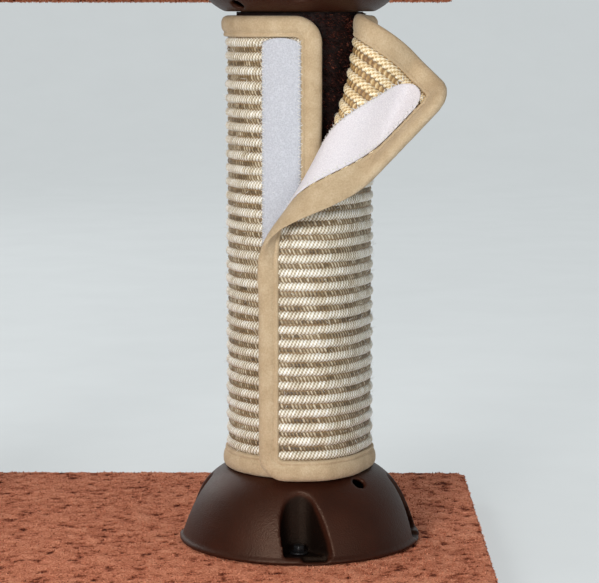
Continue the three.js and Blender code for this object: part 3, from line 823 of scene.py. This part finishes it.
def build_carpet(name, top, low, board):
    """A plush carpet over the top and down the edges of a board."""
    x, y = carpet_top()
    rows, columns = x.shape
    rim = grid_rim(rows, columns)
    flat = np.stack([x, y, np.full_like(x, top)], -1).reshape(-1, 3)
    edge = flat[rim]
    core_x, core_y = BASE["width"] / 2 - BASE["corner"], BASE["depth"] / 2 - BASE["corner"]
    out = edge[:, :2] - np.clip(edge[:, :2], [-core_x, -core_y], [core_x, core_y])
    out /= np.linalg.norm(out, axis=1, keepdims=True)
    points, normals = [flat], [np.tile([0.0, 0.0, 1.0], (len(flat), 1))]
    for angle in map(math.radians, (30, 60, 90)):
        ring = edge.copy()
        ring[:, :2] += out * PLUSH_ROUND * math.sin(angle)
        ring[:, 2] -= PLUSH_ROUND * (1 - math.cos(angle))
        points.append(ring)
        normals.append(np.concatenate([out * math.sin(angle), np.full((len(out), 1), math.cos(angle))], 1))
    drops = np.arange(top - PLUSH_ROUND - PLUSH_STEP, low + 0.4, -PLUSH_STEP)
    for height in [*drops, low]:
        ring = points[-1].copy()
        ring[:, 2] = height
        points.append(ring)
        normals.append(np.concatenate([out, np.zeros((len(out), 1))], 1))
    bottom = points[-1].copy()
    bottom[:, :2] -= out * (CARPET - 0.4)
    points.append(bottom)
    normals.append(np.tile([0.0, 0.0, -1.0], (len(bottom), 1)))
    faces = [grid_faces(rows, columns)]
    first = np.concatenate([rim, len(flat) + np.arange(len(rim) * (len(points) - 1))]).reshape(-1, len(rim))
    for upper, lower in zip(first[:-1], first[1:]):
        faces.append(np.stack([upper, lower, np.roll(lower, -1), np.roll(upper, -1)], -1))
    points, normals = np.concatenate(points), np.concatenate(normals)
    lump = lumps(points)
    # Painted shade in the creases and slight painted light on high pile.
    tone = carpet_tone(lump)
    shown = np.where(normals[:, 2:] < -0.5, 0.0, 1.0)
    fade = np.clip((points[:, 2:] - low) / 3, 0, 1)
    points = points + normals * shown * fade * (0.75 * lump[:, None] - 0.45)
    piece = make(name, points, faces, carpet, tone, closed=False)

    picked = random.choice(np.flatnonzero((shown[:, 0] > 0) & (points[:, 2] > low + 1.5)), BOARD_TUFTS)
    foot = points[picked] + random.uniform(-1.0, 1.0, (BOARD_TUFTS, 3)) * (1 - np.abs(normals[picked]))
    made, tuft_faces, tuft_tone = tufts(foot, normals[picked], **TUFT)
    # Each tuft also takes the painted crease shade and high-pile light of the carpet beneath it.
    lit = np.repeat(carpet_tone(lump[picked]) - 0.5, 4)
    pile = make(f"{name}_pile", made, [tuft_faces], carpet, np.clip(tuft_tone + lit, 0, 1), smooth=False)
    settle(piece, nodes=[board.replace("board", "carpet")])
    settle(pile)


def build_apron():
    """The carpet round the stiffening rail: its CAD shape, remeshed finely and roughened."""
    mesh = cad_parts["apron_carpet"].data.copy()
    mesh.name = "apron_cover"
    mesh.materials.clear()
    cover = add("apron_cover", mesh)
    remeshed(cover, 0.0017, 2)
    mesh = cover.data
    points, normals = read(mesh)
    lump = lumps(points)
    below = np.clip((PLATFORM_BOTTOM - 1.5 - points[:, 2:]) / 3, 0, 1)
    points = points + normals * below * (0.5 * lump[:, None] - 0.3)
    mesh.vertices.foreach_set("co", (points / 1000).astype(np.float32).ravel())
    # Painted shade in the creases and slight painted light on high pile, as on the boards.
    write(mesh, "tone", carpet_tone(lump))
    mesh.materials.append(carpet)
    settle(cover, nodes=["apron_carpet"])
    low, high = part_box("apron_carpet")
    low, high = np.array(low) * 1000, np.array(high) * 1000
    outer = (np.abs(points - (low + high) / 2) > (high - low) / 2 - 1.6).any(1) & (points[:, 2] < high[2] - 3)
    picked = random.choice(np.flatnonzero(outer), RAIL_TUFTS)
    made, faces, tone = tufts(points[picked], normals[picked], **TUFT)
    pile = make("apron_cover_pile", made, [faces], carpet, tone, smooth=False)
    settle(pile)


# ==== Flanges and screws


def read(mesh):
    """A mesh's points in millimetres, and their normals."""
    points = np.zeros(len(mesh.vertices) * 3, np.float32)
    normals = np.zeros(len(mesh.vertices) * 3, np.float32)
    mesh.vertices.foreach_get("co", points)
    mesh.vertices.foreach_get("normal", normals)
    return points.reshape(-1, 3).astype(float) * 1000, normals.reshape(-1, 3).astype(float)


def applied(piece):
    """Bakes a piece's modifiers into its mesh."""
    bpy.context.view_layer.update()
    seen = piece.evaluated_get(bpy.context.evaluated_depsgraph_get())
    mesh = bpy.data.meshes.new_from_object(seen)
    piece.modifiers.clear()
    piece.data = mesh


def remeshed(piece, voxel, smoothing):
    """Rebuilds a piece on an even grid, which rounds its edges by about a voxel."""
    change = piece.modifiers.new("even", "REMESH")
    change.mode = "VOXEL"
    change.voxel_size = voxel
    change.use_smooth_shade = True
    soften = piece.modifiers.new("soften", "SMOOTH")
    soften.factor = 0.5
    soften.iterations = smoothing
    applied(piece)


def about_z(radius, angle, height):
    """Points at a radius and an angle about Z, at a height."""
    x, y = radius * np.cos(angle), radius * np.sin(angle)
    return np.stack([x, y, np.broadcast_to(height, x.shape)], -1)


def turned(profile, steps):
    """Points and faces of a closed profile of (radius, height) turned about Z."""
    radius, height = np.array(profile).T
    return about_z(radius, circle(steps), height), [grid_faces(steps, len(radius), True, True)]


def bezier(wall, steps):
    """The dome's curve from its lip to its neck, drawn inwards by a wall's thickness."""
    knots = np.array([
        (FLANGE["rim"] - 1.6 - wall, FLANGE["lip"] + 0.5),
        (77.5 - wall, 22 - wall / 3),
        (70.5 - wall * 0.8, 42 - wall),
        (FLANGE["neck"] - wall / 3, FLANGE["height"] - wall),
    ])
    t = np.linspace(0, 1, steps)[:, None]
    weights = [(1 - t) ** 3, 3 * t * (1 - t) ** 2, 3 * t * t * (1 - t), t**3]
    return [tuple(p) for p in sum(w * k for w, k in zip(weights, knots))]


def pocket_outline(azimuth, side, grow):
    """A pocket from above: round towards the post, and open past the rim, wider on one side."""
    radius, reach = POCKET["radius"] + grow, POCKET["reach"]
    angle = np.radians(np.arange(-45, -236, -9.5))
    x = np.append(radius * np.cos(angle), [-4 - grow, radius * math.cos(angle[0]) + reach])
    y = np.append(POCKET["centre"] + radius * np.sin(angle), [reach, reach])
    x[-1] -= POCKET["centre"] + radius * math.sin(angle[0])
    return plan(azimuth, y) + plan(azimuth + 90, x * side)


def prism(outline, low, high):
    """Points and faces of an outline drawn straight up from one height to another."""
    count = len(outline)
    bottom = np.concatenate([outline, np.full((count, 1), low)], 1)
    top = np.concatenate([outline, np.full((count, 1), high)], 1)
    index = np.arange(count)
    wall = np.stack([index, (index + 1) % count, (index + 1) % count + count, index + count], -1)
    return np.concatenate([bottom, top]), [wall, index[None, ::-1], index[None, :] + count]


def rod(radius, low, high):
    return turned([(0.001, low), (radius, low), (radius, high), (0.001, high)], 24)


def on_lock_line(points, azimuth, sign, past):
    """Moves a shape that stands on Z to a lock screw's sloping line. Its Z runs outwards where sign is 1."""
    slope = math.radians(LOCK["slope"])
    out = np.array([*plan(azimuth, 1.0), 0.0])
    up = sign * (out * math.cos(slope) + np.array([0, 0, 1.0]) * math.sin(slope))
    aside = np.array([*plan(azimuth + 90, 1.0), 0.0])
    place = np.array([*plan(azimuth, LOCK["place"]), LOCK["height"]]) + up * past
    return points @ np.array([aside, np.cross(up, aside), up]) + place


def cut(target, points, faces, operation):
    """Joins, cuts or intersects an object with a closed shape."""
    tool = make("tool", points, faces, plastic)
    change = target.modifiers.new("cut", "BOOLEAN")
    change.object = tool
    change.operation = operation
    change.solver = "MANIFOLD"
    applied(target)
    bpy.data.objects.remove(tool)


def flange_mesh():
    """One flange, standing on the post frame's floor with its neck up, in metres."""
    low, wide, lip, high = 0.3, FLANGE["rim"], FLANGE["lip"], FLANGE["height"]
    thick, bore, sleeve = FLANGE["wall"], FLANGE["bore"], FLANGE["sleeve"]
    rim = [(wide - 0.4, low), (wide, low + 0.5), (wide, lip - 0.5), (wide - 0.5, lip)]
    dome = [*rim, *bezier(0, 18), (bore, high), (bore, low)]
    inner = [(wide - 1.6 - thick, -5), *bezier(thick, 10), (sleeve, high - thick), (sleeve, -5)]
    solid = turned(dome, 112)
    body = make("flange", *solid, plastic)
    cut(body, *turned(inner, 96), "DIFFERENCE")
    pockets = [(azimuth, -1 if i % 2 else 1) for i, azimuth in enumerate((0, 90, 180, 270))]
    for azimuth, side in pockets:
        outline = pocket_outline(azimuth, side, POCKET["wall"])
        wall = make("wall", *prism(outline, low, high), plastic)
        cut(wall, *solid, "INTERSECT")
        points, _ = read(wall.data)
        faces = [np.array([list(p.vertices)]) for p in wall.data.polygons]
        bpy.data.objects.remove(wall)
        cut(body, points, faces, "UNION")
    for azimuth, side in pockets:
        outline = pocket_outline(azimuth, side, 0)
        cut(body, *prism(outline, POCKET["floor"], high + 5), "DIFFERENCE")
        half = NOTCH["width"] / 2
        x = np.array([-half, half, half, -half]) + side * NOTCH["aside"]
        y = np.array([NOTCH["from"], NOTCH["from"], NOTCH["to"], NOTCH["to"]])
        outline = plan(azimuth, y) + plan(azimuth + 90, x)
        cut(body, *prism(outline, NOTCH["sill"], NOTCH["sill"] + NOTCH["tall"]), "DIFFERENCE")
        hole, faces = rod(SCREW["hole"], -5, 20)
        place = np.array([*plan(azimuth, SCREW["place"]), 0])
        cut(body, hole + place, faces, "DIFFERENCE")
    for azimuth in (45, 225):
        points, faces = rod(LOCK["access"], 0, 20 + LOCK["sunk"] - 2)
        cut(body, on_lock_line(points, azimuth, -1, -20), faces, "DIFFERENCE")
    remeshed(body, 0.0012, 2)
    mesh = body.data
    bpy.data.objects.remove(body)
    points, _ = read(mesh)
    outline = np.array([*rim, *bezier(0, 18)])
    surface = np.interp(points[:, 2], outline[:, 1], outline[:, 0])
    # Painted shade: points more than 1.5 mm inside the dome's outer curve, in the pockets and the hollow
    # underneath, are marked for darkening, fully from 6.5 mm in.
    write(mesh, "cavity_shade", np.clip((surface - np.linalg.norm(points[:, :2], axis=1) - 1.5) / 5, 0, 1))
    return mesh


def shank(top, tip, rings, sides, pitch, radius, ridge, point):
    """A threaded shank from its top down to its tip, which narrows over the length called point."""
    along = np.linspace(top, tip, rings)[None, :]
    around = circle(sides)
    crest = np.abs(((along / pitch + around / (2 * math.pi)) % 1) - 0.5) * 2
    radius = (radius + ridge * crest**2) * np.clip((along - tip + 0.1) / point, 0.05, 1)
    return about_z(radius, around, along), [grid_faces(sides, rings, loop_rows=True)], 0.5


def hex_screw():
    """A hex-head screw with its washer, standing on z = 0: a chamfered head and a threaded shank."""
    washer, washer_faces = turned(WASHER, 48)
    angle = circle(48)
    to_flat = HEX_FLAT / np.cos((angle + math.pi / 6) % (math.pi / 3) - math.pi / 6)
    share, height = np.array(HEX_HEAD).T
    chamfer = 3.2 + 0.9 * np.clip((6.1 - height) / 0.9, 0, 1)
    head = about_z(np.minimum(to_flat * share, chamfer), angle, height)
    head_faces = [grid_faces(48, len(HEX_HEAD), loop_rows=True)]
    thread = shank(1.4, -20.5, 150, 16, 2.0, 1.5, 0.65, 4)
    return joined([(washer, washer_faces, 0.5), (head, head_faces, 0.5), thread])[:2]


def pan_screw():
    """A pan-head screw with a cross recess. Its head's top is at z = 0, and it points down."""
    angle = circle(40)
    radius, height = np.array(PAN_HEAD).T
    x, y = radius * np.cos(angle), radius * np.sin(angle)
    cross = (np.minimum(np.abs(x), np.abs(y)) < 0.5) & (radius < 2.0)
    head = about_z(radius, angle, np.where(cross, height - 1.0, height))
    head_faces = [grid_faces(40, len(PAN_HEAD), loop_rows=True)]
    return joined([(head, head_faces, 0.5), shank(-2.4, -14.6, 90, 14, 1.4, 1.1, 0.45, 3)])[:2]


def put(place, points, faces, material, node, ending):
    """Stands a screw in a flange's frame, for the CAD node that it replaces."""
    moved = points @ np.array(place.to_3x3()).T + np.array(place.translation) * 1000
    settle(make(f"{node}_{ending}", moved, faces, material, closed=False), nodes=[node])


def build_flange(side, end, place, mesh):
    """One flange with its four hex screws and two lock screws. place carries its frame to the tree's."""
    own = mesh.copy()
    own.transform(place)
    flange = add(f"{side}_{end}_dome_flange", own)
    own.name = flange.name
    settle(flange, nodes=[f"{side}_{end}_flange"])
    points, faces = hex_screw()
    names = ("front", "right", "rear", "left") if end == "lower" else ("rear", "right", "front", "left")
    for i, name in enumerate(names):
        at = [*plan(90 * i, SCREW["place"]), POCKET["floor"] + 0.3]
        put(place, points + at, faces, black, f"{side}_{end}_screw_{name}", "hex")
    points, faces = pan_screw()
    for letter, azimuth in (("a", 45), ("b", 225)):
        moved = on_lock_line(points, azimuth, 1, -LOCK["sunk"])
        put(place, moved, faces, zinc, f"{side}_{end}_lock_screw_{letter}", "pan")


def build_flanges():
    """All four flanges. The upper ones hang upside down from the platform."""
    mesh = flange_mesh()
    for side, x in POST_X.items():
        lower = Matrix.Translation((x / 1000, 0, BASE_TOP / 1000))
        upper = Matrix.Translation((x / 1000, 0, PLATFORM_BOTTOM / 1000)) @ Matrix.Rotation(math.pi, 4, "X")
        build_flange(side, "lower", lower, mesh)
        build_flange(side, "upper", upper, mesh)


# ==== The tree


def paint(node, material):
    """Gives a CAD node that stays in view its material."""
    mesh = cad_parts[node].data
    mesh.materials.clear()
    mesh.materials.append(material)


for board in ("base_board", "platform_board", "apron_board"):
    paint(board, wood)
for side in POST_X:
    paint(f"{side}_post_tube", cardboard)
    paint(f"apron_screw_{side}", zinc)

build_carpet("base_plush", BASE_TOP, 0.0, "base_board")
build_carpet("platform_plush", PLATFORM_BOTTOM + BASE_TOP, PLATFORM_BOTTOM, "platform_board")
build_apron()
build_flanges()
for side in POST_X:
    build_sleeve(side)
    build_wrap(side)


# ==== Stage, light and camera


def build_stage():
    """A pale floor that sweeps up into a wall."""
    half, flat, sweep, top, below = 14000.0, 3000.0, 1500.0, 9000.0, 0.5
    turn = np.linspace(0.1, math.pi / 2, 14)
    y = np.concatenate([[-half, flat], flat + sweep * np.sin(turn), [flat + sweep]])
    z = np.concatenate([[-below, -below], sweep - sweep * np.cos(turn), [top]])
    x = np.array([-half, half])
    points = np.stack([
        np.broadcast_to(x[:, None], (2, len(y))),
        np.broadcast_to(y, (2, len(y))),
        np.broadcast_to(z, (2, len(y))),
    ], -1)
    look = Look("pale_backdrop", 0.95, Specular_IOR_Level=0.1)
    look.colour(look.noise(9, 3), [(0.3, (132, 135, 136)), (0.7, (138, 141, 142))])
    look.shader.inputs["Emission Color"].default_value = srgb(205, 210, 211)
    look.shader.inputs["Emission Strength"].default_value = 0.77
    floor = make("stage_floor", points, [grid_faces(2, len(y))], look.material, closed=False)


def area_light(name, place, target, size, power, colour=(1, 1, 1)):
    light = bpy.data.lights.new(name, "AREA")
    light.shape = "DISK"
    light.size = size
    light.energy = power
    light.color = colour
    lamp = add(name, light)
    lamp.location = place
    lamp.rotation_euler = (Vector(target) - Vector(place)).to_track_quat("-Z", "Y").to_euler()


def build_camera():
    camera = bpy.data.cameras.new("camera")
    camera.lens = CAMERA["lens"]
    camera.sensor_width = CAMERA["sensor"]
    camera.clip_end = 50
    view = add("camera", camera)
    view.location = CAMERA["place"]
    view.rotation_euler = (math.radians(90 - CAMERA["down"]), 0, math.radians(CAMERA["left"]))
    bpy.context.scene.camera = view


scene = bpy.context.scene
scene.view_settings.view_transform = "Standard"
world = bpy.data.worlds.new("soft_room")
world.use_nodes = True
world.node_tree.nodes["Background"].inputs["Color"].default_value = (0.9, 0.95, 1.0, 1)
world.node_tree.nodes["Background"].inputs["Strength"].default_value = 0.22
scene.world = world
build_stage()
area_light("key", (-0.75, -2.3, 0.95), (0.15, 0, 0.24), 0.7, 50, (1.0, 0.985, 0.96))
area_light("fill", (1.7, -2.0, 0.6), (0.15, 0, 0.2), 1.4, 9)
area_light("top", (-0.4, -0.6, 2.4), (0.1, 0.1, 0.2), 1.6, 20)
area_light("rear", (-1.4, 1.9, 1.3), (0, 0, 0.25), 1.5, 14)
build_camera()
